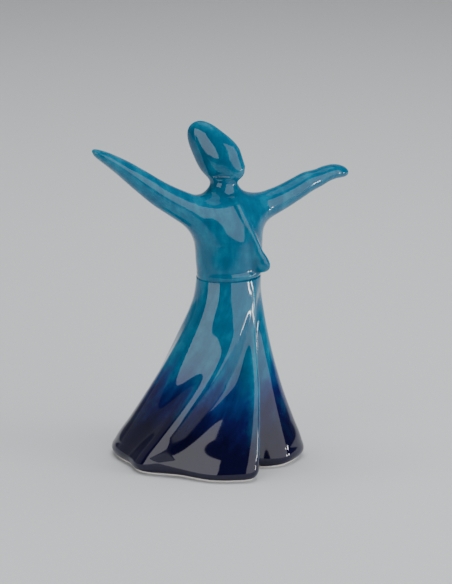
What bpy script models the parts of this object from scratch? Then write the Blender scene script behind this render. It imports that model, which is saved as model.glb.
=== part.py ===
"""Glazed earthenware figurine of a whirling dervish, built as the castings a
pottery makes and lutes together with slip.

Units are metres, +Z is up, the figure's chest faces -Y and its right arm
points along -X.  The origin is the centre of the foot's bounding box on the
floor.  Every piece is one closed solid and neighbours are 0.3 mm apart.
"""
import math

import bmesh
import bpy
from mathutils import Vector

MM = 0.001

# ---------------------------------------------------------------- dimensions
GAP = 0.3 * MM                  # clearance between neighbouring pieces
SEAM = 0.6 * MM                 # thickness of a slip seam
AXIS = Vector((0.3 * MM, -5.6 * MM, 0.0))   # upright axis of the body

FOOT_HEIGHT = 0.8 * MM          # bare clay foot below the glaze
FOOT_INSET = 0.9 * MM           # foot stands in from the rounded hem
HEM_ROUND = 2.6 * MM            # height of the rounding at the hem
SKIRT_TOP = 86.4 * MM           # cut between skirt and jacket
SKIRT_WALL = 4.4 * MM           # wall of the skirt, measured level
WAIST_WALL = 3.9 * MM
JACKET_BOTTOM = SKIRT_TOP + GAP + SEAM + GAP
JACKET_OVERHANG = 0.8 * MM      # the jacket's hem stands proud of the skirt
HOLLOW_TOP = 116.0 * MM         # top of the hollow inside the chest
NECK_CUT = 126.6 * MM           # top of the jacket casting
HEAD_BOTTOM = NECK_CUT + GAP + SEAM + GAP
SHOULDER_CUT = 17.2 * MM        # end faces of the jacket casting

ANGLES = 64                     # points round the skirt
SIDES = 28                      # points round the jacket
ARM_SIDES = 18
HEAD_SIDES = 24

# Skirt: mean radius and drift of the section's centre, against height.
SKIRT_Z = [z * MM for z in (0.0, 3.0, 8.0, 18.0, 30.0, 45.0, 60.0, 74.0, 88.0)]
SKIRT_R = [r * MM for r in (38.2, 39.8, 38.5, 34.0, 29.0, 23.7, 19.3, 16.0, 14.8)]
SKIRT_X = [x * MM for x in (-7.1, -6.9, -6.4, -5.3, -4.2, -2.7, -0.9, 1.0, 1.4)]
SKIRT_Y = [y * MM for y in (4.3, 4.2, 3.9, 3.1, 2.3, 1.3, 0.5, 0.1, 0.0)]

# Folds: angle at the hem, angle 60 mm up, half width (degrees), height of the
# ridge or depth of the groove at the hem (mm), and how fast it dies upwards.
FOLDS = (
    (275, 291, 11, 6.6, 0.8),
    (286, 312, 15, -13.4, 1.3),
    (333, 341, 15, 4.2, 1.2),
    (20, 20, 14, -3.0, 1.3),
    (48, 62, 18, 4.0, 1.2),
    (76, 104, 14, -4.0, 1.2),
    (101, 136, 18, 3.5, 1.1),
    (122, 162, 12, -2.5, 1.2),
    (136, 174, 31, 6.0, 1.1),
    (172, 223, 19, -3.2, 1.2),
    (185, 258, 13, 2.9, 1.0),
    (217, 285, 26, -7.0, 0.8),
)
FOLD_TOP = 60.0 * MM

# Jacket: half width (X), half depth (Y) and centre against height.
JACKET_Z = [z * MM for z in (86.0, 92.0, 98.0, 104.0, 110.0, 115.0, 119.0, 122.0, 124.5, 127.0)]
JACKET_A = [a * MM for a in (15.0, 15.5, 15.8, 15.9, 15.8, 15.3, 13.4, 10.6, 8.0, 6.6)]
JACKET_B = [b * MM for b in (12.9, 13.2, 13.5, 13.5, 12.8, 11.6, 10.0, 8.4, 7.0, 6.3)]
JACKET_WALL = 4.0 * MM
NECK_SHIFT = Vector((-0.8 * MM, 0.4 * MM, 0.0))
WAIST_SHIFT = Vector((1.4 * MM, 0.0, 0.0))      # the waist leans a little to +X

# Arms: centre line in the XZ plane, half height and half depth of the section.
RIGHT_ARM = (
    (-17.2, 116.9, 8.0, 7.0), (-20.4, 118.6, 7.3, 6.7), (-25.0, 121.2, 6.5, 6.2),
    (-29.3, 123.9, 5.9, 5.8), (-35.8, 128.2, 5.3, 5.2), (-42.6, 133.2, 4.6, 4.6),
    (-49.0, 138.0, 3.6, 3.9), (-54.0, 141.6, 2.8, 3.9), (-58.5, 144.6, 2.3, 3.8),
    (-62.0, 146.7, 1.9, 3.2), (-64.3, 148.0, 1.5, 2.3), (-65.5, 148.6, 0.8, 1.1),
)
LEFT_ARM = (
    (17.2, 114.8, 8.2, 7.2), (21.9, 116.3, 6.7, 6.4), (26.5, 117.6, 5.9, 5.9),
    (30.3, 118.9, 5.5, 5.6), (36.0, 121.2, 5.2, 5.2), (41.9, 123.6, 4.9, 4.9),
    (48.3, 125.5, 4.3, 4.6), (53.0, 126.3, 3.4, 4.4), (57.0, 126.3, 2.9, 4.2),
    (60.8, 125.6, 2.5, 3.5), (63.4, 124.6, 1.8, 2.5), (64.9, 124.0, 0.8, 1.2),
)
# Head: neck, skull and the tall cap in one sweep.  Centre x, y, z, radius and
# how far the chin pushes the section out.
HEAD = (
    (-0.8, 0.4, 127.8, 6.2, 0.0), (-1.0, 0.5, 129.8, 6.3, 0.3), (-1.5, 0.5, 132.2, 7.2, 1.8),
    (-2.1, 0.6, 135.2, 8.7, 2.4), (-3.2, 1.2, 139.0, 9.2, 1.0), (-4.7, 2.2, 142.2, 8.8, 0.2),
    (-6.4, 3.3, 145.2, 8.0, 0.0), (-8.1, 4.5, 147.9, 7.1, 0.0), (-9.6, 5.6, 150.2, 5.9, 0.0),
    (-10.8, 6.5, 152.2, 4.5, 0.0), (-11.7, 7.2, 153.7, 2.7, 0.0), (-12.1, 7.5, 154.3, 1.0, 0.0),
)
CHIN_ANGLE = 315.0              # the face looks a little to the figure's left
CHIN_WIDTH = 48.0
# Front edge of the jacket: a tapering roll from the throat to a flared tip.
# Centre x, y, z, half width and half depth.
FRONT_EDGE = (
    (0.6, -10.2, 117.4, 0.9, 0.9), (1.8, -11.0, 114.4, 1.5, 1.3), (3.9, -12.1, 109.0, 1.9, 1.5),
    (6.1, -12.4, 104.0, 2.1, 1.8), (8.0, -12.4, 99.0, 2.3, 2.4), (9.6, -12.4, 95.0, 2.8, 3.6),
    (10.7, -12.4, 92.2, 3.2, 4.4), (11.2, -12.4, 90.3, 2.9, 4.1), (11.5, -12.4, 89.1, 1.6, 2.4),
)


# ------------------------------------------------------------------- helpers
def curve_value(x, knots, values):
    """Smooth curve through the knots, slopes taken from the neighbours."""
    x = min(max(x, knots[0]), knots[-1])
    last = len(knots) - 2
    k = 0
    while k < last and x > knots[k + 1]:
        k += 1
    step = [knots[i + 1] - knots[i] for i in range(len(knots) - 1)]
    rise = [(values[i + 1] - values[i]) / step[i] for i in range(len(step))]

    def slope(i):
        if i == 0:
            return rise[0]
        if i == len(step):
            return rise[-1]
        return (rise[i - 1] * step[i] + rise[i] * step[i - 1]) / (step[i - 1] + step[i])

    t = (x - knots[k]) / step[k]
    first = (1 + 2 * t) * (1 - t) ** 2 * values[k]
    lead = t * (1 - t) ** 2 * step[k] * slope(k)
    second = t * t * (3 - 2 * t) * values[k + 1]
    trail = t * t * (t - 1) * step[k] * slope(k + 1)
    return first + lead + second + trail


def skirt_radius(angle, z):
    """Level radius of the skirt: mean radius plus the folds."""
    radius = curve_value(z, SKIRT_Z, SKIRT_R)
    down = min(max(1 - z / SKIRT_TOP, 0.0), 1.0)
    for hem, top, width, height, power in FOLDS:
        lean = min(max(z / FOLD_TOP, 0.0), 1.4) ** 1.4
        centre = math.radians(hem + (top - hem) * lean)
        away = math.remainder(angle - centre, math.tau)
        grow = down ** power * min(down * 6, 1.0)
        radius += height * MM * grow * math.exp(-(away / math.radians(width)) ** 2)
    return radius


def skirt_ring(z, inset, shape_z=None):
    """One level ring of the skirt, drawn in by `inset`."""
    level = z if shape_z is None else shape_z
    depth = 1 - 0.12 * min(max((level - 40 * MM) / (46 * MM), 0.0), 1.0)
    centre = Vector((
        curve_value(level, SKIRT_Z, SKIRT_X),
        curve_value(level, SKIRT_Z, SKIRT_Y),
        0.0,
    )) + AXIS
    ring = []
    for i in range(ANGLES):
        angle = math.tau * i / ANGLES
        squash = 1 / math.hypot(math.cos(angle), math.sin(angle) / depth)
        radius = skirt_radius(angle, level) * squash - inset
        ring.append(centre + Vector((radius * math.cos(angle), radius * math.sin(angle), z)))
    return ring


def jacket_ring(z, inset, sides=SIDES):
    """One level, oval ring of the jacket, drawn in by `inset`."""
    half_x = curve_value(z, JACKET_Z, JACKET_A) - inset
    half_y = curve_value(z, JACKET_Z, JACKET_B) - inset
    rise = min(max((z - 112 * MM) / (14 * MM), 0.0), 1.0)
    lower = min(max((116 * MM - z) / (14 * MM), 0.0), 1.0)
    centre = AXIS + NECK_SHIFT * rise + WAIST_SHIFT * lower
    ring = []
    for i in range(sides):
        angle = math.tau * i / sides
        ring.append(centre + Vector((half_x * math.cos(angle), half_y * math.sin(angle), z)))
    return ring


def swept_rings(path, sides, first_normal, last_share=1.0):
    """Oval rings along a path of (centre, half height, half depth).

    The first ring lies square to `first_normal`; the rings turn to stand
    square to the path within the first third of it.
    """
    rings = []
    for i, (centre, half_up, half_side) in enumerate(path):
        before = path[max(i - 1, 0)][0]
        after = path[min(i + 1, len(path) - 1)][0]
        along = (after - before).normalized()
        share = min(i / (len(path) / 3), 1.0) * last_share
        normal = (first_normal.lerp(along, share)).normalized()
        up = normal.cross(Vector((0, 1, 0))).normalized()
        side = up.cross(normal).normalized()
        ring = []
        for k in range(sides):
            angle = math.tau * k / sides
            ring.append(
                centre + up * half_up * math.sin(angle) + side * half_side * math.cos(angle)
            )
        rings.append(ring)
    return rings


def close_rings(rings, loop=False):
    """Skin a stack of rings into a closed mesh; a loop joins last to first."""
    mesh = bmesh.new()
    rows = [[mesh.verts.new(point) for point in ring] for ring in rings]
    count = len(rows[0])
    pairs = list(zip(rows[:-1], rows[1:]))
    if loop:
        pairs.append((rows[-1], rows[0]))
    for lower, upper in pairs:
        for i in range(count):
            j = (i + 1) % count
            mesh.faces.new((lower[i], lower[j], upper[j], upper[i]))
    if not loop:
        mesh.faces.new(rows[0][::-1])
        mesh.faces.new(rows[-1])
    bmesh.ops.recalc_face_normals(mesh, faces=mesh.faces)
    return mesh


def material(name, colour, roughness):
    made = bpy.data.materials.new(name)
    made.use_nodes = True
    shader = made.node_tree.nodes["Principled BSDF"]
    shader.inputs["Base Color"].default_value = (*colour, 1.0)
    shader.inputs["Roughness"].default_value = roughness
    shader.inputs["Metallic"].default_value = 0.0
    made.diffuse_color = (*colour, 1.0)
    return made


def make_object(name, mesh, made, sharp=50.0):
    """Turn a bmesh into a named, smoothly shaded object."""
    data = bpy.data.meshes.new(name)
    mesh.to_mesh(data)
    mesh.free()
    item = bpy.data.objects.new(name, data)
    bpy.context.scene.collection.objects.link(item)
    data.shade_smooth()
    data.set_sharp_from_angle(angle=math.radians(sharp))
    if made is not None:
        data.materials.append(made)
    return item


def helper(name, mesh):
    """A shape used only inside a boolean."""
    item = make_object(name, mesh, None)
    item.hide_render = True
    item.display_type = "WIRE"
    return item


def combine(target, other, operation):
    step = target.modifiers.new(f"{operation.title()} {other.name}", "BOOLEAN")
    step.operation = operation
    step.solver = "EXACT"
    step.object = other
    return step


def arm_path(rows):
    return [(Vector((x * MM, 0.0, z * MM)) + AXIS, up * MM, side * MM)
            for x, z, up, side in rows]


def solid_path(rows):
    return [(Vector((x * MM, y * MM, z * MM)) + AXIS, up * MM, side * MM)
            for x, y, z, up, side in rows]


# --------------------------------------------------------------------- build
for item in list(bpy.data.objects):
    bpy.data.objects.remove(item, do_unlink=True)

GLAZE_SKIRT = material("Glazed earthenware, cobalt", (0.012, 0.045, 0.21), 0.12)
GLAZE_JACKET = material("Glazed earthenware, turquoise", (0.010, 0.20, 0.30), 0.12)
GLAZE_HEAD = material("Glazed earthenware, head", (0.012, 0.23, 0.33), 0.12)
GLAZE_RIGHT_ARM = material("Glazed earthenware, right arm", (0.014, 0.25, 0.36), 0.12)
GLAZE_LEFT_ARM = material("Glazed earthenware, left arm", (0.014, 0.25, 0.35), 0.12)
GLAZE_EDGE = material("Glazed earthenware, front edge", (0.012, 0.22, 0.32), 0.12)
BARE_CLAY = material("Bare fired clay", (0.72, 0.69, 0.63), 0.85)

# Skirt: a hollow bell.  The rings run up the outside, over the top and down
# the inside, so the wall is one closed loop.
OUTER_Z = [z * MM for z in (7.0, 12.0, 18.0, 25.0, 33.0, 42.0, 51.0, 60.0, 69.0, 78.0)]
INNER_Z = [z * MM for z in (70.0, 54.0, 40.0, 27.0, 15.0, 7.0)]
skirt_bottom = FOOT_HEIGHT + GAP
skirt_rings = [
    skirt_ring(skirt_bottom, FOOT_INSET, 0.0),
    skirt_ring(skirt_bottom + 0.25 * HEM_ROUND, 0.35 * FOOT_INSET, 1.0 * MM),
    skirt_ring(skirt_bottom + HEM_ROUND, 0.0, 3.0 * MM),
]
skirt_rings += [skirt_ring(z, 0.0) for z in OUTER_Z]
skirt_rings += [skirt_ring(SKIRT_TOP, 0.0), skirt_ring(SKIRT_TOP, WAIST_WALL)]
for z in INNER_Z:
    share = z / SKIRT_TOP
    skirt_rings.append(skirt_ring(z, SKIRT_WALL + (WAIST_WALL - SKIRT_WALL) * share))
skirt_rings.append(skirt_ring(skirt_bottom, SKIRT_WALL + FOOT_INSET, 0.0))
make_object("skirt_casting", close_rings(skirt_rings, loop=True), GLAZE_SKIRT)

# Bare foot: the ring of the wall wiped clean of glaze so it can stand in the kiln.
foot_rings = [
    skirt_ring(0.0, FOOT_INSET + 0.2 * MM, 0.0),
    skirt_ring(FOOT_HEIGHT, FOOT_INSET, 0.0),
    skirt_ring(FOOT_HEIGHT, SKIRT_WALL + FOOT_INSET, 0.0),
    skirt_ring(0.0, SKIRT_WALL + FOOT_INSET - 0.2 * MM, 0.0),
]
make_object("bare_foot_ring", close_rings(foot_rings, loop=True), BARE_CLAY)

# Waist seam: slip squeezed between the two castings, a little short of both.
seam_low = SKIRT_TOP + GAP
seam_high = seam_low + SEAM
seam_rings = [
    jacket_ring(seam_low, 0.6 * MM),
    jacket_ring(seam_high, 0.6 * MM),
    jacket_ring(seam_high, JACKET_WALL),
    jacket_ring(seam_low, JACKET_WALL),
]
make_object("waist_slip_seam", close_rings(seam_rings, loop=True), BARE_CLAY)

# Jacket: chest and short neck, joined to a cross piece that makes the
# shoulders, then hollowed from below.
jacket_levels = [JACKET_BOTTOM, JACKET_BOTTOM + 0.7 * MM, JACKET_BOTTOM + 2.6 * MM]
jacket_levels += [z * MM for z in (95.0, 100.0, 105.0, 110.0, 113.0, 116.0, 118.5, 120.5, 122.5, 124.5)]
jacket_levels.append(NECK_CUT)
jacket_rings = []
for level in jacket_levels:
    above = level - JACKET_BOTTOM
    proud = JACKET_OVERHANG * max(1 - above / (6 * MM), 0.0)
    if above < 0.1 * MM:
        proud -= 0.5 * MM
    jacket_rings.append(jacket_ring(level, -proud))
jacket = make_object("jacket_casting", close_rings(jacket_rings), GLAZE_JACKET)

right_root = RIGHT_ARM[0]
left_root = LEFT_ARM[0]
YOKE = (
    (-17.2, right_root[1], right_root[2], right_root[3]), (-14.4, 115.6, 9.2, 7.9),
    (-11.0, 114.4, 10.2, 8.6), (-5.0, 113.4, 10.2, 8.8), (0.0, 113.0, 9.8, 8.8),
    (5.0, 112.8, 10.2, 8.8), (11.0, 113.0, 10.2, 8.6), (14.4, 113.9, 9.4, 8.0),
    (17.2, left_root[1], left_root[2], left_root[3]),
)
yoke_mesh = close_rings(swept_rings(arm_path(YOKE), ARM_SIDES, Vector((1, 0, 0)), 0.0))
yoke = helper("shoulder_yoke", yoke_mesh)
combine(jacket, yoke, "UNION")

hollow_levels = (JACKET_BOTTOM - 1.0 * MM, 92.0 * MM, 98.0 * MM, 104.0 * MM, 109.0 * MM)
hollow_rings = [jacket_ring(z, JACKET_WALL, 20) for z in hollow_levels]
hollow_rings.append(jacket_ring(113.0 * MM, JACKET_WALL + 1.6 * MM, 20))
hollow_rings.append(jacket_ring(HOLLOW_TOP, JACKET_WALL + 5.0 * MM, 20))
hollow = helper("chest_hollow", close_rings(hollow_rings))
combine(jacket, hollow, "DIFFERENCE")

# Neck seam: a disc of slip between chest and head.
neck_low = NECK_CUT + GAP
neck_rings = [jacket_ring(neck_low, 0.5 * MM, 20), jacket_ring(neck_low + SEAM, 0.5 * MM, 20)]
make_object("neck_slip_seam", close_rings(neck_rings), BARE_CLAY)

# Head: neck, skull and cap in one sweep; the chin swells the lower sections.
head_path = [(x, y, z, radius, radius) for x, y, z, radius, chin in HEAD]
head_rings = swept_rings(solid_path(head_path), HEAD_SIDES, Vector((0, 0, 1)))
for ring, (x, y, z, radius, chin) in zip(head_rings, HEAD):
    centre = Vector((x * MM, y * MM, z * MM)) + AXIS
    for point in ring:
        out = point - centre
        away = math.remainder(math.atan2(out.y, out.x) - math.radians(CHIN_ANGLE), math.tau)
        swell = chin * MM * math.exp(-(away / math.radians(CHIN_WIDTH)) ** 2)
        point += out.normalized() * swell
head_rings[0] = [Vector((p.x, p.y, HEAD_BOTTOM)) for p in head_rings[0]]
make_object("head_casting", close_rings(head_rings), GLAZE_HEAD)

# Arms and the discs of slip that join them to the shoulders.
for side_name, rows, glaze, toward in (
    ("right", RIGHT_ARM, GLAZE_RIGHT_ARM, -1),
    ("left", LEFT_ARM, GLAZE_LEFT_ARM, 1),
):
    path = arm_path(rows)
    rings = swept_rings(path, ARM_SIDES, Vector((toward, 0, 0)))
    start = SHOULDER_CUT + GAP + SEAM + GAP
    rings[0] = [p + Vector((toward * (start - SHOULDER_CUT), 0, 0)) for p in rings[0]]
    make_object(f"{side_name}_arm_casting", close_rings(rings), glaze)
    centre, half_up, half_side = path[0]
    disc = []
    for x in (SHOULDER_CUT + GAP, SHOULDER_CUT + GAP + SEAM):
        at = Vector((AXIS.x + toward * x, centre.y, centre.z))
        disc.append((at, half_up - 0.6 * MM, half_side - 0.6 * MM))
    seam = swept_rings(disc, ARM_SIDES, Vector((toward, 0, 0)), 0.0)
    make_object(f"{side_name}_shoulder_slip_seam", close_rings(seam), BARE_CLAY)

# Front edge: the roll is cut back by the chest, grown by the gap all round.
edge_rings = swept_rings(solid_path(FRONT_EDGE), 16, Vector((0, 0, -1)))
edge = make_object("jacket_front_edge", close_rings(edge_rings), GLAZE_EDGE)
relief_levels = [z * MM for z in (82.0, 84.0, 87.4, 88.2, 90.0, 95.0, 100.0, 105.0, 110.0, 114.0, 117.0, 120.0)]
relief_rings = []
for level in relief_levels:
    above = level - JACKET_BOTTOM
    proud = JACKET_OVERHANG * min(max(1 - above / (6 * MM), 0.0), 1.0)
    relief_rings.append(jacket_ring(level, -proud - GAP, 40))
combine(edge, helper("chest_relief", close_rings(relief_rings)), "DIFFERENCE")
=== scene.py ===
# %% [markdown]
# # A glazed whirling dervish
#
# The real thing is a table figurine of earthenware, cast in plaster moulds, luted
# together with slip, dipped in a turquoise glaze, brushed with cobalt round the hem and
# fired once more.  This lesson builds its looks round a CAD frame that already fixes
# every size: first the skirt, then the upper figure, then the glaze, then the studio.

import bmesh
import bpy
import numpy as np
from mathutils import Matrix


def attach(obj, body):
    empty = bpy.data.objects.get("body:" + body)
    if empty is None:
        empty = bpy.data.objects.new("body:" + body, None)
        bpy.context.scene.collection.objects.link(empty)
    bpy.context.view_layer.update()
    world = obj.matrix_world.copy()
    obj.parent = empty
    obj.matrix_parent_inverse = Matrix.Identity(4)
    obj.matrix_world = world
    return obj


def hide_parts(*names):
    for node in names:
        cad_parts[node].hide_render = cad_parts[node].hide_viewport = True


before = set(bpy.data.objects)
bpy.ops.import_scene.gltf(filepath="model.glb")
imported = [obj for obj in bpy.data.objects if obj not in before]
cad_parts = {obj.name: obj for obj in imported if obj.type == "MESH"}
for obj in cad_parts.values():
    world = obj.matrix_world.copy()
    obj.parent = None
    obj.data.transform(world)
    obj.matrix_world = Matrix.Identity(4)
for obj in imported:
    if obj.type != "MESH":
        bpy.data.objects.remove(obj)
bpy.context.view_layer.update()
MM = 0.001

# %% [markdown]
# ## Curves through a few measures
#
# A potter's profile is a handful of measures with smooth clay between them.  A cubic
# Hermite curve does the same: it passes through every measure, and its slope there comes
# from the neighbours, so nothing overshoots into a lump.

# %% Smooth curves


def curve(x, knots, values):
    """Cubic through the knots: on each span h the value is a blend of both ends and both
    slopes, and each slope is the average of its two chords, weighted to the nearer."""
    knots = np.asarray(knots, float)
    values = np.asarray(values, float)
    step = np.diff(knots)
    chord = np.diff(values) / step
    slope = np.empty(len(knots))
    slope[0] = chord[0]
    slope[-1] = chord[-1]
    slope[1:-1] = (chord[:-1] * step[1:] + chord[1:] * step[:-1]) / (step[:-1] + step[1:])
    x = np.clip(x, knots[0], knots[-1])
    k = np.clip(np.searchsorted(knots, x, side="right") - 1, 0, len(step) - 1)
    t = (x - knots[k]) / step[k]
    ends = (1 + 2 * t) * (1 - t) ** 2 * values[k] + t * t * (3 - 2 * t) * values[k + 1]
    turns = t * (1 - t) ** 2 * slope[k] + t * t * (t - 1) * slope[k + 1]
    return ends + turns * step[k]


def angle_between(a, b):
    """Signed difference of two angles, brought into the half turn either side of zero."""
    return np.angle(np.exp(1j * (a - b)))


print("curve halfway up a ramp of 0 to 10:", curve(np.array([0.5]), [0, 1], [0, 10]))

# %% [markdown]
# ## The skirt
#
# The skirt is a hollow bell whose folds lean round the body as they rise, because the
# dancer turns.  It could be sculpted, but a formula keeps the folds clean: at each height
# the outline is a mean radius plus a few humps and hollows, each a Gaussian in angle whose
# centre drifts with height and whose size dies away towards the waist.

# %% Measures of the skirt, in millimetres
AXIS_X = 0.3
AXIS_Y = -5.6
WAIST = 86.4
SKIRT_CUT = 85.6
SKIRT_Z = [0.0, 3.0, 8.0, 18.0, 30.0, 45.0, 60.0, 74.0, 88.0]
SKIRT_R = [38.2, 39.8, 38.5, 34.0, 29.0, 23.7, 19.3, 16.0, 14.8]
SKIRT_X = [-7.1, -6.9, -6.4, -5.3, -4.2, -2.7, -0.9, 1.0, 1.4]
SKIRT_Y = [4.3, 4.2, 3.9, 3.1, 2.3, 1.3, 0.5, 0.1, 0.0]
# Angle at the hem, angle 60 mm up, half width (degrees), height of the ridge or depth of
# the groove at the hem (mm), and how fast it dies away upwards.
FOLDS = [
    (275, 291, 11, 6.6, 0.8),
    (286, 312, 15, -13.4, 1.3),
    (333, 341, 15, 4.2, 1.2),
    (20, 20, 14, -3.0, 1.3),
    (48, 62, 18, 4.0, 1.2),
    (76, 104, 14, -4.0, 1.2),
    (101, 136, 18, 3.5, 1.1),
    (122, 162, 12, -2.5, 1.2),
    (136, 174, 31, 6.0, 1.1),
    (172, 223, 19, -3.2, 1.2),
    (185, 258, 13, 2.9, 1.0),
    (217, 285, 26, -7.0, 0.8),
]
FOLD_TOP = 60.0
LEAN_POWER = 1.4
LEAN_LIMIT = 1.4
SQUEEZE = 0.12
SQUEEZE_FROM = 40.0
SQUEEZE_OVER = 46.0


def lean_share(z):
    """How far round a fold has leaned at height z, as a share of its lean at 60 mm."""
    return np.clip(z / FOLD_TOP, 0, LEAN_LIMIT) ** LEAN_POWER


def fold_centre(hem, top, z):
    """Angle of a fold at height z: upright at the hem, leaning more and more as it rises."""
    return np.radians(hem + (top - hem) * lean_share(z))


def skirt_radius(angle, z):
    """Mean radius at z, plus height x (1 - z / waist) ^ power x exp(-(away / width)^2) for
    every fold, squeezed front to back by up to 12 % towards the waist."""
    radius = curve(z, SKIRT_Z, SKIRT_R) + 0 * angle
    down = np.clip(1 - z / WAIST, 0, 1)
    for hem, top, width, height, power in FOLDS:
        away = angle_between(angle, fold_centre(hem, top, z))
        grow = down**power * np.clip(down * 6, 0, 1)
        radius = radius + height * grow * np.exp(-((away / np.radians(width)) ** 2))
    depth = 1 - SQUEEZE * np.clip((z - SQUEEZE_FROM) / SQUEEZE_OVER, 0, 1)
    return radius / np.hypot(np.cos(angle), np.sin(angle) / depth)


def skirt_points(angle, z, inset=0.0, level=None):
    """Grid points at height z: the outline of height `level`, drawn in by `inset`."""
    level = z if level is None else level
    radius = skirt_radius(angle, level) - inset
    x = AXIS_X + curve(level, SKIRT_Z, SKIRT_X) + radius * np.cos(angle)
    y = AXIS_Y + curve(level, SKIRT_Z, SKIRT_Y) + radius * np.sin(angle)
    return np.stack([x, y, z + 0 * x], axis=-1)


print("skirt radius in front, at the hem:", skirt_radius(np.radians([260.0]), np.array([3.0])))

# %% [markdown]
# ## From a grid of points to a mesh
#
# A grid whose columns run round the body closes on itself.  Its faces are listed with
# array arithmetic, and the points go to Blender in one call.

# %% Grid meshes
def grid_faces(rows, columns, closed_rows=False):
    """Quads between neighbouring rows; columns wrap round, rows too when asked."""
    row = np.arange(rows if closed_rows else rows - 1)[:, None]
    column = np.arange(columns)[None, :]
    after = (row + 1) % rows
    beside = (column + 1) % columns
    corners = [row * columns + column, row * columns + beside,
               after * columns + beside, after * columns + column]
    return np.stack(np.broadcast_arrays(*corners), axis=-1).reshape(-1, 4)


def mesh_piece(name, points, faces, normals=None, **values):
    """A mesh object from arrays in millimetres, with per-point values as attributes."""
    mesh = bpy.data.meshes.new(name)
    mesh.from_pydata(points * MM, [], faces.tolist() if hasattr(faces, "tolist") else faces)
    mesh.shade_smooth()
    for key, value in values.items():
        layer = mesh.attributes.new(key, "FLOAT", "POINT")
        layer.data.foreach_set("value", np.asarray(value, np.float32))
    if normals is not None:
        mesh.normals_split_custom_set_from_vertices(normals.tolist())
    piece = bpy.data.objects.new(name, mesh)
    bpy.context.scene.collection.objects.link(piece)
    print(name, "has", len(mesh.vertices), "points")
    return piece


# %% The skirt's surface
COLUMNS = 360
HEM_ROWS = 12
OUTER_ROWS = 190
INNER_ROWS = 46
HEM_ROUND = 3.2
FOOT_TOP = 0.8
FOOT_INSET = 0.9
WALL = 4.4
WALL_THINNER_AT_WAIST = 0.5
STREAK_LEAN = 50.0

turn = np.linspace(0, 2 * np.pi, COLUMNS, endpoint=False)[None, :]
bend = np.linspace(0, np.pi / 2, HEM_ROWS)[:, None]
hem_z = FOOT_TOP + HEM_ROUND * (1 - np.cos(bend))
hem_inset = FOOT_INSET * (1 - np.sin(bend)) ** 1.3 * 1.4
outer_z = np.linspace(FOOT_TOP + HEM_ROUND, SKIRT_CUT, OUTER_ROWS)[1:, None]
inner_z = np.linspace(SKIRT_CUT, FOOT_TOP, INNER_ROWS)[:, None]
inner_wall = WALL - WALL_THINNER_AT_WAIST * inner_z / WAIST
inner_wall = inner_wall + FOOT_INSET * np.clip(1 - inner_z / 4, 0, 1)
skirt_rows = np.concatenate([
    skirt_points(turn, hem_z, hem_inset),
    skirt_points(turn, outer_z),
    skirt_points(turn, inner_z, inner_wall),
])
skirt_faces = grid_faces(len(skirt_rows), COLUMNS, closed_rows=True)


def pooled(radius_rows):
    """How far a point stands out of the folds round it: the radius less its own average
    over 24 degrees, so positive on a ridge and negative in a hollow."""
    reach = COLUMNS * 12 // 360
    total = sum(np.roll(radius_rows, k, axis=1) for k in range(-reach, reach + 1))
    return radius_rows - total / (2 * reach + 1)


level_rows = np.concatenate([hem_z, outer_z, inner_z])
ridge_height = pooled(skirt_radius(turn + 0 * level_rows, level_rows))
lean = turn - np.radians(STREAK_LEAN * lean_share(level_rows))
skirt = mesh_piece(
    "skirt", skirt_rows.reshape(-1, 3), skirt_faces,
    pool=ridge_height.ravel(),
    run_x=(np.cos(lean) + 0 * level_rows).ravel(),
    run_y=(np.sin(lean) + 0 * level_rows).ravel(),
)

# %% [markdown]
# ## The bare foot
#
# Before firing, the foot is wiped clean of glaze so that it doesn't stick to the kiln
# shelf.  It shows as a thin pale line under the hem.  It is the same outline, drawn in a
# little, carried round a small closed section.

# %% The foot ring
# How far in from the foot's outline, and how high.
foot_section = [(0.25, 0.0), (0.05, 0.15), (0.0, FOOT_TOP), (WALL, FOOT_TOP), (WALL - 0.3, 0.0)]
foot_rows = np.concatenate([
    skirt_points(turn, np.full((1, 1), z), FOOT_INSET + inset, np.zeros((1, 1)))
    for inset, z in foot_section
])
foot = mesh_piece("bare_foot", foot_rows.reshape(-1, 3),
                  grid_faces(len(foot_rows), COLUMNS, closed_rows=True))

# %% [markdown]
# ## The upper figure as a field
#
# Chest, arms, neck and head run into each other without an edge, and a grid can't branch
# at a shoulder.  So this part is made another way: a function gives, for any point in
# space, about how far it is outside the clay, and the skin is where that is zero.  Two
# shapes join by a smooth minimum, which fills the corner between them as wet slip does.

# %% Joining shapes


def melt(a, b, fillet):
    """Smooth minimum: the smaller of two distances, lowered by up to a quarter of the
    fillet where they are equal, so the corner fills."""
    share = np.clip(0.5 + 0.5 * (b - a) / fillet, 0, 1)
    return b + (a - b) * share - fillet * share * (1 - share)


def swell(square, axis_square, slope):
    """Distance outside a limb: squared distance from its line less its squared radius,
    divided by how fast that grows."""
    return (square - axis_square) / np.sqrt(4 * square + slope**2 + 4.0)


# %% The chest and the neck
# Height, half width along X and half depth along Y.
CHEST_Z = [80, 84, 86.4, 88, 92, 98, 104, 110, 115, 119, 122, 125, 128, 131]
CHEST_A = [15.0, 14.8, 14.8, 14.9, 15.3, 15.6, 15.8, 15.9, 15.2, 13.2, 10.4, 7.8, 6.2, 6.0]
CHEST_B = [12.9, 12.7, 12.7, 12.8, 13.1, 13.4, 13.5, 12.8, 11.6, 10.0, 8.3, 6.8, 6.0, 5.9]
WAIST_SHIFT = 1.4
SHIFT_TOP = 116.0
NECK_LEAN_X = -0.8
NECK_LEAN_Y = 0.4
NECK_FROM = 112.0
SLIDE_OVER = 14.0
CHEST_TOP = 131.0


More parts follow.
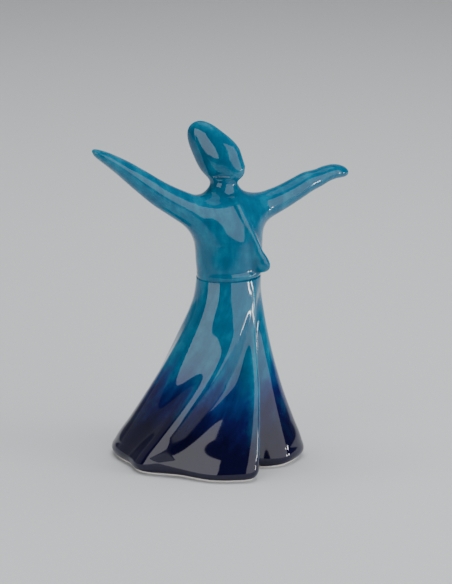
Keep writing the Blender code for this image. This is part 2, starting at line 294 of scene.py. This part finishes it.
def chest(x, y, z):
    """Oval section: half width and half depth come from the height; the centre slides to
    the neck's over the last 14 mm."""
    half_x = curve(z, CHEST_Z, CHEST_A)
    half_y = curve(z, CHEST_Z, CHEST_B)
    rise = np.clip((z - NECK_FROM) / SLIDE_OVER, 0, 1)
    around = np.sqrt(((x - NECK_LEAN_X * rise) / half_x) ** 2
                     + ((y - NECK_LEAN_Y * rise) / half_y) ** 2)
    flare = curve(z + 0.5, CHEST_Z, CHEST_A) - curve(z - 0.5, CHEST_Z, CHEST_A)
    return (around - 1) * np.minimum(half_x, half_y) / np.sqrt(1 + flare**2)


# %% The arms
# Each runs along X.  Along it are given: X, height of the centre line, squared half
# thickness, and how many times wider than thick it is.
RIGHT_X = [-67.0, -66.0, -64.5, -62.0, -58.5, -54.0, -49.0,
           -42.6, -35.8, -29.3, -20.4, -9.0, 0.0, 5.0]
RIGHT_Z = [149.6, 149.0, 148.1, 146.7, 144.6, 141.6, 138.0,
           133.2, 128.2, 123.9, 118.6, 112.5, 109.0, 107.0]
RIGHT_H = [-1.5, 0.0, 2.4, 4.9, 7.9, 11.6, 17.0, 23.4, 30.4, 35.5, 47.0, 60.0, 50.0, 0.0]
RIGHT_W = [1.7, 1.7, 1.6, 1.6, 1.55, 1.35, 1.1, 1.0, 1.0, 1.0, 0.95, 0.9, 0.9, 0.9]
LEFT_X = [-5.0, 0.0, 9.0, 21.9, 30.3, 36.0, 41.9,
          48.3, 53.0, 57.0, 60.2, 62.6, 64.2, 65.2]
LEFT_Z = [108.0, 109.0, 112.5, 116.1, 118.9, 121.2, 123.6,
          125.3, 126.8, 127.4, 127.2, 126.8, 126.5, 126.3]
LEFT_H = [0.0, 45.0, 58.0, 38.0, 30.0, 27.0, 24.0, 17.2, 13.6, 11.4, 8.6, 4.6, 0.0, -2.6]
LEFT_W = [0.9, 0.9, 0.9, 0.95, 1.0, 1.0, 1.0, 1.05, 1.2, 1.3, 1.35, 1.45, 1.5, 1.5]


def arm(x, y, z, knots, heights, squares, widths):
    """Limb along X: (height above its line x cos slope)^2 + (y / width)^2 against the
    squared half thickness, which falls through zero at the fingertips."""
    line = curve(x, knots, heights)
    tilt = curve(x + 0.5, knots, heights) - curve(x - 0.5, knots, heights)
    off = (z - line) / np.sqrt(1 + tilt**2)
    square = curve(x, knots, squares)
    slope = curve(x + 0.5, knots, squares) - curve(x - 0.5, knots, squares)
    beyond = np.maximum(x - knots[-1], knots[0] - x)
    round_line = off**2 + (y / curve(x, knots, widths)) ** 2
    return swell(round_line, square, slope) + np.maximum(beyond, 0)


# %% The head: a long egg on a leaning line
HEAD_FROM = np.array([-3.0, 0.9, 139.6])
HEAD_TO = np.array([-9.6, 5.6, 150.2])
# Distance along the line, and the squared radius there.
HEAD_S = [-11.0, -9.0, -6.0, -3.0, 0.0, 3.5, 7.0, 10.5, 13.3, 15.5, 17.5, 19.2, 20.5]
HEAD_SQUARE = [-30.0, 10.0, 56.0, 80.0, 87.0, 81.0, 68.0, 54.0, 42.0, 30.0, 17.0, 3.0, -12.0]
head_line = (HEAD_TO - HEAD_FROM) / np.linalg.norm(HEAD_TO - HEAD_FROM)
# The face side is flatter: the egg is thinner that way and a little wider across.
FACE_TURN = np.radians(-60.0)
FACE_RISE = np.radians(12.0)
FACE_FLATTER = 1.42
HEAD_WIDER = 1.10
CHIN = (2.6, -3.9, 134.3)
CHIN_RADIUS = 4.2
CHIN_FILLET = 4.5
face_way = np.array([
    np.sin(FACE_TURN) * np.cos(FACE_RISE),
    -np.cos(FACE_TURN) * np.cos(FACE_RISE),
    np.sin(FACE_RISE),
])
face_way = face_way - (face_way @ head_line) * head_line
face_way = face_way / np.linalg.norm(face_way)


def ball(x, y, z, centre, radius):
    """Distance outside a sphere."""
    return np.sqrt((x - centre[0]) ** 2 + (y - centre[1]) ** 2 + (z - centre[2]) ** 2) - radius


def head(x, y, z):
    """Egg: squared distance from the leaning line, stretched towards the face and squeezed
    across it, against a squared radius along the line."""
    dx = x - HEAD_FROM[0]
    dy = y - HEAD_FROM[1]
    dz = z - HEAD_FROM[2]
    along = dx * head_line[0] + dy * head_line[1] + dz * head_line[2]
    to_face = dx * face_way[0] + dy * face_way[1] + dz * face_way[2]
    square = dx * dx + dy * dy + dz * dz - along**2 - to_face**2
    square = square / HEAD_WIDER**2 + (to_face * FACE_FLATTER) ** 2
    slope = curve(along + 0.5, HEAD_S, HEAD_SQUARE) - curve(along - 0.5, HEAD_S, HEAD_SQUARE)
    outside = np.maximum(np.maximum(along - HEAD_S[-1], HEAD_S[0] - along), 0)
    egg = swell(np.maximum(square, 0), curve(along, HEAD_S, HEAD_SQUARE), slope) + outside
    return melt(egg, ball(x, y, z, CHIN, CHIN_RADIUS), CHIN_FILLET)


# %% The jacket's front edge and hem
# Height, direction round the axis (degrees), distance out, squared half width.
EDGE_Z = [86.5, 88.4, 90.0, 92.0, 95.0, 99.0, 104.0, 109.0, 114.0, 118.0, 121.0, 123.0]
EDGE_ANGLE = [309, 308, 307, 306, 304, 299, 293, 287, 281, 276, 272, 270]
EDGE_OUT = [15.2, 15.8, 16.2, 16.2, 15.4, 13.9, 12.8, 11.9, 10.8, 9.4, 8.2, 7.0]
EDGE_SQUARE = [-6.0, 0.0, 5.5, 8.5, 8.5, 6.5, 5.0, 4.0, 3.0, 2.0, 0.8, -0.4]
EDGE_DEEPER = 1.35
HEM_LEVEL = 87.6
HEM_HALF_X = 14.8
HEM_HALF_Y = 12.7
HEM_RADIUS = 1.6
HEM_SUNK = 1.9
HEM_RISES = 1.3
HEM_FRONT = np.radians(298.0)
HEM_SPREAD = np.radians(58)


def front_edge(x, y, z):
    """Roll: an oval in level sections, whose centre walks round and out from the throat to
    the flared tip, and whose squared radius falls through zero at both ends."""
    angle = np.radians(curve(z, EDGE_Z, EDGE_ANGLE))
    out = curve(z, EDGE_Z, EDGE_OUT)
    square = curve(z, EDGE_Z, EDGE_SQUARE)
    slope = curve(z + 0.5, EDGE_Z, EDGE_SQUARE) - curve(z - 0.5, EDGE_Z, EDGE_SQUARE)
    radial = x * np.cos(angle) + y * np.sin(angle) - out
    across = -x * np.sin(angle) + y * np.cos(angle)
    beyond = np.maximum(z - EDGE_Z[-1], EDGE_Z[0] - z)
    return swell((radial / EDGE_DEEPER) ** 2 + across**2, square, slope) + np.maximum(beyond, 0)


def hem_roll(x, y, z):
    """Low bead round the jacket's lower edge, highest in front, sunk into the body behind."""
    around = np.sqrt((x / HEM_HALF_X) ** 2 + (y / HEM_HALF_Y) ** 2)
    out = (around - 1) * HEM_HALF_Y
    away = angle_between(np.arctan2(y, x), HEM_FRONT)
    front = np.exp(-((away / HEM_SPREAD) ** 2))
    off = out + HEM_SUNK - HEM_RISES * front
    return np.sqrt(off**2 + (z - HEM_LEVEL) ** 2) - HEM_RADIUS


# %% The whole field
RIGHT_FILLET = 7.0
LEFT_FILLET = 6.0
HEM_FILLET = 0.9
EDGE_FILLET = 2.4
NECK_FILLET = 3.0


def upper_figure(x, y, z):
    """All of it: arms melt into the chest with a wide fillet, the rest with narrower ones.
    The chest, its hem and its front edge slide a little to +X towards the waist."""
    x = x - AXIS_X
    y = y - AXIS_Y
    low_x = x - WAIST_SHIFT * np.clip((SHIFT_TOP - z) / SLIDE_OVER, 0, 1)
    body = np.maximum(chest(low_x, y, z), z - CHEST_TOP)
    right = arm(x, y, z, RIGHT_X, RIGHT_Z, RIGHT_H, RIGHT_W)
    left = arm(x, y, z, LEFT_X, LEFT_Z, LEFT_H, LEFT_W)
    body = melt(body, right, RIGHT_FILLET)
    body = melt(body, left, LEFT_FILLET)
    body = melt(body, hem_roll(low_x, y, z), HEM_FILLET)
    body = melt(body, front_edge(low_x, y, z), EDGE_FILLET)
    return melt(body, head(x, y, z), NECK_FILLET)


print("field at the middle of the chest:",
      upper_figure(np.array([0.0]), np.array([0.0]), np.array([105.0])))

# %% [markdown]
# ## Skinning the field
#
# Space is filled with small cubes.  Every cube that the skin passes through gets one
# point, at the average of where its edges are crossed, and neighbouring cubes' points are
# joined into quads.  Each point is then walked down the slope of the field until it lies
# on the skin exactly, so the cubes leave no trace in the glaze's reflections.

# %% Surface nets
def skin(field, low, high, step):
    """Points and quads of the field's zero surface inside a box of cubes."""
    ticks = [np.arange(a, b, step) for a, b in zip(low, high)]
    size = [len(t) for t in ticks]
    value = field(ticks[0][:, None, None], ticks[1][None, :, None], ticks[2][None, None, :])
    inside = value < 0
    cells = tuple(n - 1 for n in size)

    def corner(offset, source):
        cut = tuple(slice(o, o + n) for o, n in zip(offset, cells))
        return source[cut]

    offsets = [(i, j, k) for i in (0, 1) for j in (0, 1) for k in (0, 1)]
    filled = sum(corner(offset, inside).astype(np.int8) for offset in offsets)
    crossed = np.argwhere((filled > 0) & (filled < 8))
    number = np.full(cells, -1)
    number[tuple(crossed.T)] = np.arange(len(crossed))
    total = np.zeros((len(crossed), 3))
    count = np.zeros(len(crossed))
    for along in range(3):
        for offset in offsets:
            if offset[along]:
                continue
            far = list(offset)
            far[along] = 1
            near_value = value[tuple((crossed + offset).T)]
            far_value = value[tuple((crossed + far).T)]
            change = (near_value < 0) != (far_value < 0)
            share = near_value / np.where(change, near_value - far_value, 1.0)
            spot = np.array(offset, float) + np.zeros((len(crossed), 3))
            spot[:, along] = share
            total += np.where(change[:, None], spot, 0)
            count += change
    points = np.array(low) + step * (crossed + total / count[:, None])
    quads = []
    for along in range(3):
        first, second = [(1, 2), (2, 0), (0, 1)][along]
        edge_cut = [slice(1, n - 1) for n in size]
        edge_cut[along] = slice(0, size[along] - 1)
        next_cut = list(edge_cut)
        next_cut[along] = slice(1, size[along])
        here = inside[tuple(edge_cut)]
        change = np.argwhere(here != inside[tuple(next_cut)])
        leaving = here[tuple(change.T)]
        change[:, first] += 1
        change[:, second] += 1

        def cell(back_first, back_second):
            place = change.copy()
            place[:, first] -= back_first
            place[:, second] -= back_second
            return number[tuple(place.T)]

        quad = np.stack([cell(1, 1), cell(0, 1), cell(0, 0), cell(1, 0)], axis=1)
        quad[~leaving] = quad[~leaving][:, ::-1]
        quads.append(quad)
    return points, np.concatenate(quads)


def slope_of(field, points, reach=0.03):
    """Central differences of the field along the three axes."""
    sides = []
    for axis in range(3):
        shift = np.zeros(3)
        shift[axis] = reach
        sides.append((field(*(points + shift).T) - field(*(points - shift).T)) / (2 * reach))
    return np.stack(sides, axis=1)


def settle(field, points, rounds=4):
    """Newton steps: move each point by -field x slope / slope squared."""
    for _ in range(rounds):
        slope = slope_of(field, points)
        drop = field(*points.T) / np.maximum((slope**2).sum(axis=1), 0.05)
        points = points - np.clip(drop, -0.5, 0.5)[:, None] * slope
    return points


CUBE = 0.8
NET_LOW = (-70.0, -26.0, 82.0)
NET_HIGH = (70.0, 18.0, 158.0)
net_points, net_quads = skin(upper_figure, NET_LOW, NET_HIGH, CUBE)
net_points = settle(upper_figure, net_points)
print("skin of the upper figure:", len(net_points), "points,", len(net_quads), "quads")

# %% [markdown]
# ## Cutting the skin into its castings
#
# The frame has separate castings for chest, head and arms, so the skin is cut by the same
# planes.  Each cut leaves both sides the same points on the plane; the glaze runs across
# it unbroken, as it does on the fired piece.

# %% The cuts
NECK_CUT = 127.1
SHOULDER_CUT = 17.8


def cut_piece(points, quads, planes):
    """The part of a skin on the kept side of every (point on plane, outward normal), with
    the openings closed."""
    work = bmesh.new()
    shell = bpy.data.meshes.new("cutting")
    shell.from_pydata(points, [], quads.tolist())
    work.from_mesh(shell)
    bpy.data.meshes.remove(shell)
    for place, outward in planes:
        everything = list(work.verts) + list(work.edges) + list(work.faces)
        bmesh.ops.bisect_plane(work, geom=everything, dist=1e-5, plane_co=place,
                               plane_no=outward, clear_outer=True)
    rim = [edge for edge in work.edges if edge.is_boundary]
    bmesh.ops.holes_fill(work, edges=rim, sides=0)
    work.verts.ensure_lookup_table()
    kept = np.array([vert.co[:] for vert in work.verts])
    faces = [[vert.index for vert in face.verts] for face in work.faces]
    work.free()
    return kept, faces


SIDE_STEP = 1.6
RIDGE_GAIN = 2.0
RUN_WIDTH = 15.0


def ridge_and_slope(points):
    """How far the skin stands out, and its outward direction.  The field is averaged over
    four points 1.6 mm to the sides: they lie outside the clay on a ridge, inside it in a
    hollow, so the average is positive on ridges and negative in hollows."""
    slope = slope_of(upper_figure, points)
    slope = slope / np.linalg.norm(slope, axis=1, keepdims=True)
    side = np.cross(slope, [0.31, 0.52, 0.79])
    side = side / np.linalg.norm(side, axis=1, keepdims=True)
    other = np.cross(slope, side)
    around = sum(upper_figure(*(points + SIDE_STEP * way).T)
                 for way in (side, -side, other, -other))
    return around / 4, slope


def figure_piece(name, planes):
    """One casting: the skin on the kept side of the planes, with what its glaze reads."""
    kept, faces = cut_piece(net_points, net_quads, planes)
    ridge, outward = ridge_and_slope(kept)
    return mesh_piece(name, kept, faces, outward, pool=ridge * RIDGE_GAIN,
                      run_x=kept[:, 0] / RUN_WIDTH, run_y=kept[:, 1] / RUN_WIDTH)


UP = (0.0, 0.0, 1.0)
DOWN = (0.0, 0.0, -1.0)
above_skirt = ((0.0, 0.0, SKIRT_CUT), DOWN)
below_head = ((0.0, 0.0, NECK_CUT), UP)
right_side = ((AXIS_X - SHOULDER_CUT, 0.0, 0.0), (-1.0, 0.0, 0.0))
left_side = ((AXIS_X + SHOULDER_CUT, 0.0, 0.0), (1.0, 0.0, 0.0))


def turned(plane):
    """The same plane, keeping its other side."""
    place, outward = plane
    return place, tuple(-part for part in outward)


jacket = figure_piece("jacket", [above_skirt, below_head, right_side, left_side])
head_piece = figure_piece("head", [turned(below_head), right_side, left_side])
right_arm = figure_piece("right_arm", [turned(right_side)])
left_arm = figure_piece("left_arm", [turned(left_side)])

# %% [markdown]
# ## Glaze
#
# Earthenware glaze is a coat of coloured glass, about a third of a millimetre thick.  It is
# thin and pale where it runs off a ridge and deep where it gathers in a hollow, and it is
# smooth enough to mirror a window.  Cobalt brushed over the turquoise at the hem melts into
# it in streaks along the folds.

# %% Colours and nodes
def linear(code):
    """An sRGB hex colour as the linear numbers that shaders use."""
    parts = np.array([int(code[i:i + 2], 16) for i in (1, 3, 5)]) / 255
    parts = np.where(parts <= 0.04045, parts / 12.92, ((parts + 0.055) / 1.055) ** 2.4)
    return (*parts.tolist(), 1.0)


def add(tree, kind, settings=(), inputs=(), links=()):
    """One node with its settings, socket values and incoming links."""
    node = tree.nodes.new(kind)
    for key, value in dict(settings).items():
        setattr(node, key, value)
    for key, value in dict(inputs).items():
        node.inputs[key].default_value = value
    for key, socket in dict(links).items():
        tree.links.new(socket, node.inputs[key])
    return node


def blank(name):
    """An empty material and its node tree."""
    made = bpy.data.materials.new(name)
    made.use_nodes = True
    made.node_tree.nodes.clear()
    return made, made.node_tree


def ramp(tree, factor, stops):
    """Colour by position: every stop is a place from 0 to 1 and a hex colour."""
    node = add(tree, "ShaderNodeValToRGB", links={"Fac": factor})
    bar = node.color_ramp.elements
    while len(bar) < len(stops):
        bar.new(0.5)
    for element, (place, code) in zip(bar, stops):
        element.position = place
        element.color = linear(code)
    return node.outputs["Color"]


# %% The glaze
COLOUR_LOW = 0.010
COLOUR_HIGH = 0.052
CLOUD_SIZE = 0.00625
GRAINS_PER_METRE = 900.0


def glaze_material():
    """Glossy coloured glass.  To the eye it is a sharp, weak mirror over a deep colour,
    turquoise above and nearly black cobalt at the hem, paler on ridges, darker in hollows,
    with soft streaks down the folds and clouds about 6 mm across."""
    made, tree = blank("glazed earthenware, turquoise to cobalt")
    place = add(tree, "ShaderNodeTexCoord").outputs["Object"]
    split = add(tree, "ShaderNodeSeparateXYZ", links={"Vector": place})
    pool = add(tree, "ShaderNodeAttribute", {"attribute_name": "pool"}).outputs["Fac"]
    run_x = add(tree, "ShaderNodeAttribute", {"attribute_name": "run_x"}).outputs["Fac"]
    run_y = add(tree, "ShaderNodeAttribute", {"attribute_name": "run_y"}).outputs["Fac"]
    # Streaks: noise that changes quickly round the body and slowly up it.
    slow_z = add(tree, "ShaderNodeMath", {"operation": "MULTIPLY"}, {1: 14.0},
                 {0: split.outputs["Z"]})
    flow = add(tree, "ShaderNodeCombineXYZ",
               links={"X": run_x, "Y": run_y, "Z": slow_z.outputs[0]})
    streaks = add(tree, "ShaderNodeTexNoise",
                  inputs={"Scale": 3.2, "Detail": 3.0, "Roughness": 0.6},
                  links={"Vector": flow.outputs[0]})
    # Height of the colour change, in metres, moved up and down by the streaks.
    wander = add(tree, "ShaderNodeMath", {"operation": "MULTIPLY_ADD"}, {1: 0.030, 2: -0.015},
                 {0: streaks.outputs["Fac"]})
    sink = add(tree, "ShaderNodeMath", {"operation": "MULTIPLY_ADD"}, {1: -0.0022},
               {0: pool, 2: wander.outputs[0]})
    # The cobalt reaches higher on the flanks than in front.
    flank = add(tree, "ShaderNodeMath", {"operation": "ABSOLUTE"},
                links={0: split.outputs["X"]})
    front = add(tree, "ShaderNodeMath", {"operation": "MULTIPLY_ADD"}, {1: -0.30, 2: 0.003},
                {0: flank.outputs[0]})
    dip = add(tree, "ShaderNodeMath", {"operation": "ADD"},
              links={0: front.outputs[0], 1: sink.outputs[0]})
    level = add(tree, "ShaderNodeMath", {"operation": "ADD"},
                links={0: split.outputs["Z"], 1: dip.outputs[0]})
    fade = add(tree, "ShaderNodeMapRange",
               inputs={"From Min": COLOUR_LOW, "From Max": COLOUR_HIGH},
               links={"Value": level.outputs[0]})
    hem_colour = ramp(tree, fade.outputs[0], [
        (0.0, "#080628"), (0.36, "#0D1046"), (0.58, "#083066"),
        (0.80, "#004E74"), (1.0, "#005A7A"),
    ])
    cloud = add(tree, "ShaderNodeTexNoise",
                inputs={"Scale": 1 / CLOUD_SIZE, "Detail": 5.0, "Roughness": 0.62},
                links={"Vector": place})
    # Tone: clouds, streaks and how thin the glaze is, each brought to a small step either
    # side of zero and added.
    steps = [
        add(tree, "ShaderNodeMapRange",
            inputs={"From Min": low, "From Max": high, "To Min": -step, "To Max": step},
            links={"Value": source}).outputs[0]
        for source, low, high, step in [
            (cloud.outputs["Fac"], 0.3, 0.7, 0.20),
            (streaks.outputs["Fac"], 0.36, 0.64, 0.15),
            (pool, -1.4, 1.4, 0.5),
        ]
    ]
    cloudy = add(tree, "ShaderNodeMath", {"operation": "ADD"}, links={0: steps[0], 1: steps[1]})
    tone = add(tree, "ShaderNodeMath", {"operation": "ADD"},
               links={0: cloudy.outputs[0], 1: steps[2]})
    lighter = add(tree, "ShaderNodeMix", {"data_type": "RGBA", "blend_type": "MIX"},
                  {"B": linear("#1C9AB4")}, {"A": hem_colour})
    light_share = add(tree, "ShaderNodeMapRange",
                      inputs={"From Min": 0.0, "From Max": 0.7, "To Max": 0.55},
                      links={"Value": tone.outputs[0]})
    upper_only = add(tree, "ShaderNodeMath", {"operation": "MULTIPLY"},
                     links={0: light_share.outputs[0], 1: fade.outputs[0]})
    tree.links.new(upper_only.outputs[0], lighter.inputs["Factor"])
    darker = add(tree, "ShaderNodeMix", {"data_type": "RGBA", "blend_type": "MULTIPLY"},
                 {"B": linear("#3E86A0")}, {"A": lighter.outputs["Result"]})
    dark_share = add(tree, "ShaderNodeMapRange",
                     inputs={"From Min": 0.0, "From Max": -0.7, "To Max": 0.7},
                     links={"Value": tone.outputs[0]})
    tree.links.new(dark_share.outputs[0], darker.inputs["Factor"])
    shader = add(tree, "ShaderNodeBsdfPrincipled", inputs={
        "Roughness": 0.06, "IOR": 1.47,
    }, links={"Base Color": darker.outputs["Result"]})
    add(tree, "ShaderNodeOutputMaterial", links={"Surface": shader.outputs[0]})
    return made


def clay_material():
    """Bare fired clay: chalky, matt, warm white.  Its grain is drawn about a millimetre
    across, coarser than a real one, so that it shows."""
    made, tree = blank("bare fired earthenware")
    place = add(tree, "ShaderNodeTexCoord").outputs["Object"]
    grain = add(tree, "ShaderNodeTexNoise", inputs={"Scale": GRAINS_PER_METRE, "Detail": 4.0},
                links={"Vector": place})
    colour = ramp(tree, grain.outputs["Fac"], [(0.3, "#E4DFD6"), (0.7, "#F4F1EA")])
    bump = add(tree, "ShaderNodeBump", inputs={"Strength": 0.3, "Distance": 0.0001},
               links={"Height": grain.outputs["Fac"]})
    shader = add(tree, "ShaderNodeBsdfPrincipled", inputs={"Roughness": 0.85},
                 links={"Base Color": colour, "Normal": bump.outputs[0]})
    add(tree, "ShaderNodeOutputMaterial", links={"Surface": shader.outputs[0]})
    return made


glaze = glaze_material()
clay = clay_material()

# %% [markdown]
# ## Fitting the pieces to the frame
#
# Every piece rides on the frame's one rigid body and stands for the solids it covers.

# %% Riding and replacing
fittings = [
    (skirt, glaze, ["skirt_casting", "waist_slip_seam"], "cobalt_glaze"),
    (foot, clay, ["bare_foot_ring"], "bare_clay"),
    (jacket, glaze, ["jacket_casting", "jacket_front_edge", "neck_slip_seam"], "turquoise_glaze"),
    (head_piece, glaze, ["head_casting"], "turquoise_glaze"),
    (right_arm, glaze, ["right_arm_casting", "right_shoulder_slip_seam"], "turquoise_glaze"),
    (left_arm, glaze, ["left_arm_casting", "left_shoulder_slip_seam"], "turquoise_glaze"),
]
for piece, finish, nodes, slot in fittings:
    piece.data.materials.append(finish)
    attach(piece, "root")
    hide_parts(*nodes)
    print(piece.name, "stands for", nodes)

# %% [markdown]
# ## The studio
#
# A pale sweep of paper, two soft windows standing on it, a pair of small bare lamps, a dim
# panel on the left and a soft box above.  A glossy glaze shows its lights as clearly as its
# colour, so they are placed where their mirror images should fall on the skirt.  Two more
# lights only add brightness and leave no mirror image: one for the paper, one from the
# right for the colour of the glaze.

# %% Floor and sweep


def sweep():
    """Paper: flat floor, a quarter-round of 0.5 m radius, then a wall, carried sideways.
    Given as metres to the right, away from the camera and up."""
    bend = np.linspace(0, np.pi / 2, 24)
    away = np.concatenate([[-3.0], 1.6 + 0.5 * np.sin(bend), [2.1]])
    high = np.concatenate([[0.0], 0.5 - 0.5 * np.cos(bend), [3.0]])
    side = np.array([-4.0, 4.0])
    return np.stack([np.broadcast_to(side[:, None], (2, len(away))),
                     np.broadcast_to(away, (2, len(away))),
                     np.broadcast_to(high, (2, len(away)))], axis=-1)


CAMERA_TURN = -30.0
turn_camera = np.radians(CAMERA_TURN)
right_way = np.array([np.cos(turn_camera), np.sin(turn_camera), 0.0])
away_way = np.array([-np.sin(turn_camera), np.cos(turn_camera), 0.0])
paper = sweep()
paper_points = (paper[..., :1] * right_way + paper[..., 1:2] * away_way
                + paper[..., 2:] * np.array(UP))
count = paper.shape[1]
strip = np.arange(count - 1)
paper_faces = np.stack([strip, strip + count, strip + count + 1, strip + 1], axis=1)
floor = mesh_piece("paper_sweep", paper_points.reshape(-1, 3) / MM, paper_faces)
# Matt paper: pale under and behind the figure, with painted shade towards the camera: its colour
# is darkened there so that a dark room shows in the glaze between the windows.
PAPER_SHADE_PAINTED_UNTIL = -0.30
PAPER_PALE_FROM = -0.16
paper_made, paper_tree = blank("matt grey paper with painted shade towards the camera")
paper_place = add(paper_tree, "ShaderNodeTexCoord").outputs["Object"]
toward = add(paper_tree, "ShaderNodeVectorMath", {"operation": "DOT_PRODUCT"},
             {1: away_way.tolist()}, {0: paper_place}).outputs["Value"]
paper_painted_shade_fade = add(paper_tree, "ShaderNodeMapRange", {"interpolation_type": "SMOOTHSTEP"},
                  {"From Min": PAPER_SHADE_PAINTED_UNTIL, "From Max": PAPER_PALE_FROM},
                  {"Value": toward}).outputs[0]
# Painted shade: the paper's colour goes dark towards the camera, standing in for the shade of a
# dark room.
paper_colour_and_painted_shade = ramp(paper_tree, paper_painted_shade_fade, [(0.0, "#2E2F31"), (1.0, "#CDCFD1")])
paper_shader = add(paper_tree, "ShaderNodeBsdfPrincipled", inputs={"Roughness": 0.75},
                   links={"Base Color": paper_colour_and_painted_shade})
add(paper_tree, "ShaderNodeOutputMaterial", links={"Surface": paper_shader.outputs[0]})
floor.data.materials.append(paper_made)


# %% Lights
def area_lamp(name, centre, back, width, height, brightness):
    """Area light at `centre`, shining along -`back`.  Its power is brightness x pi x area,
    so that every panel looks that bright in a mirror, whatever its size."""
    light = bpy.data.lights.new(name, "AREA")
    light.shape = "RECTANGLE"
    light.size = width
    light.size_y = height
    light.energy = brightness * np.pi * width * height
    item = bpy.data.objects.new(name, light)
    bpy.context.scene.collection.objects.link(item)
    item.visible_camera = False
    sideways = np.cross(right_way if abs(back[2]) > 0.9 else UP, back)
    sideways = sideways / np.linalg.norm(sideways)
    matrix = np.eye(4)
    matrix[:3, 0] = sideways
    matrix[:3, 1] = np.cross(back, sideways)
    matrix[:3, 2] = back
    matrix[:3, 3] = centre
    item.matrix_world = Matrix(matrix.tolist())
    return item


def panel(name, turn_right, distance, width, bottom, top, brightness):
    """Upright panel on the floor, facing the figure, `turn_right` degrees round from the
    camera."""
    turn = np.radians(turn_right)
    flat = -away_way * np.cos(turn) + right_way * np.sin(turn)
    centre = flat * distance + np.array([0.0, 0.0, (bottom + top) / 2])
    area_lamp(name, centre, flat, width, top - bottom, brightness)


# Name, degrees right of the camera, distance, width, bottom, top (metres), brightness in a mirror.
PANELS = [
    ("left window", -40, 0.55, 0.47, 0.0, 0.40, 2.8),
    ("right window", 50, 0.55, 0.66, 0.0, 0.60, 2.0),
    ("small lamp near", 76, 0.50, 0.026, 0.0, 0.05, 45.0),
    ("small lamp far", 87, 0.50, 0.026, 0.0, 0.05, 45.0),
    ("dim left fill", -102, 0.9, 0.7, 0.0, 0.8, 0.26),
]
for measures in PANELS:
    panel(*measures)
area_lamp("soft box above", np.array([0.0, 0.0, 1.1]), np.array(UP), 0.9, 0.9, 0.8)

wash_place = np.array([0.0, 0.0, 1.5]) + away_way * 0.3
wash_way = (np.array([0.0, 0.0, 1.0]) - away_way * 0.7) / np.hypot(1.0, 0.7)
wash = area_lamp("paper wash", wash_place, wash_way, 1.6, 0.8, 6.6)
wash.visible_glossy = False

KEY_TURN = np.radians(80.0)
key_level = -away_way * np.cos(KEY_TURN) + right_way * np.sin(KEY_TURN)
key_way = key_level * 0.8 + np.array(UP) * 0.6
key = area_lamp("soft key from the right", key_way, key_way, 0.4, 0.4, 5.5)
key.visible_glossy = False

world = bpy.data.worlds.new("studio fill")
bpy.context.scene.world = world
world.use_nodes = True
background = world.node_tree.nodes["Background"]
background.inputs["Color"].default_value = linear("#E4E8EC")
background.inputs["Strength"].default_value = 0.06

# %% [markdown]
# ## The camera
#
# It stands a metre away, thirty degrees round to the figure's right and fifteen degrees
# above it, looking down at the middle of the figure.

# %% The camera
CAMERA_RISE = 15.0
CAMERA_DISTANCE = 1.0
TALL_SIDE_SEEN = 0.2628
AIM_HEIGHT = 0.078
SENSOR_MM = 36.0

aim = np.array([AXIS_X * MM, AXIS_Y * MM, AIM_HEIGHT])
tilt_camera = np.radians(CAMERA_RISE)
back_way = -away_way * np.cos(tilt_camera) + np.array(UP) * np.sin(tilt_camera)
up_way = np.cross(back_way, right_way)
camera_data = bpy.data.cameras.new("studio camera")
camera_data.sensor_width = SENSOR_MM
camera_data.lens = SENSOR_MM * CAMERA_DISTANCE / TALL_SIDE_SEEN
camera_data.clip_start = 0.05
camera = bpy.data.objects.new("studio camera", camera_data)
bpy.context.scene.collection.objects.link(camera)
stand = np.eye(4)
stand[:3, 0] = right_way
stand[:3, 1] = up_way
stand[:3, 2] = back_way
stand[:3, 3] = aim + back_way * CAMERA_DISTANCE
camera.matrix_world = Matrix(stand.tolist())
bpy.context.scene.camera = camera
print("lens in mm:", round(camera_data.lens, 1))
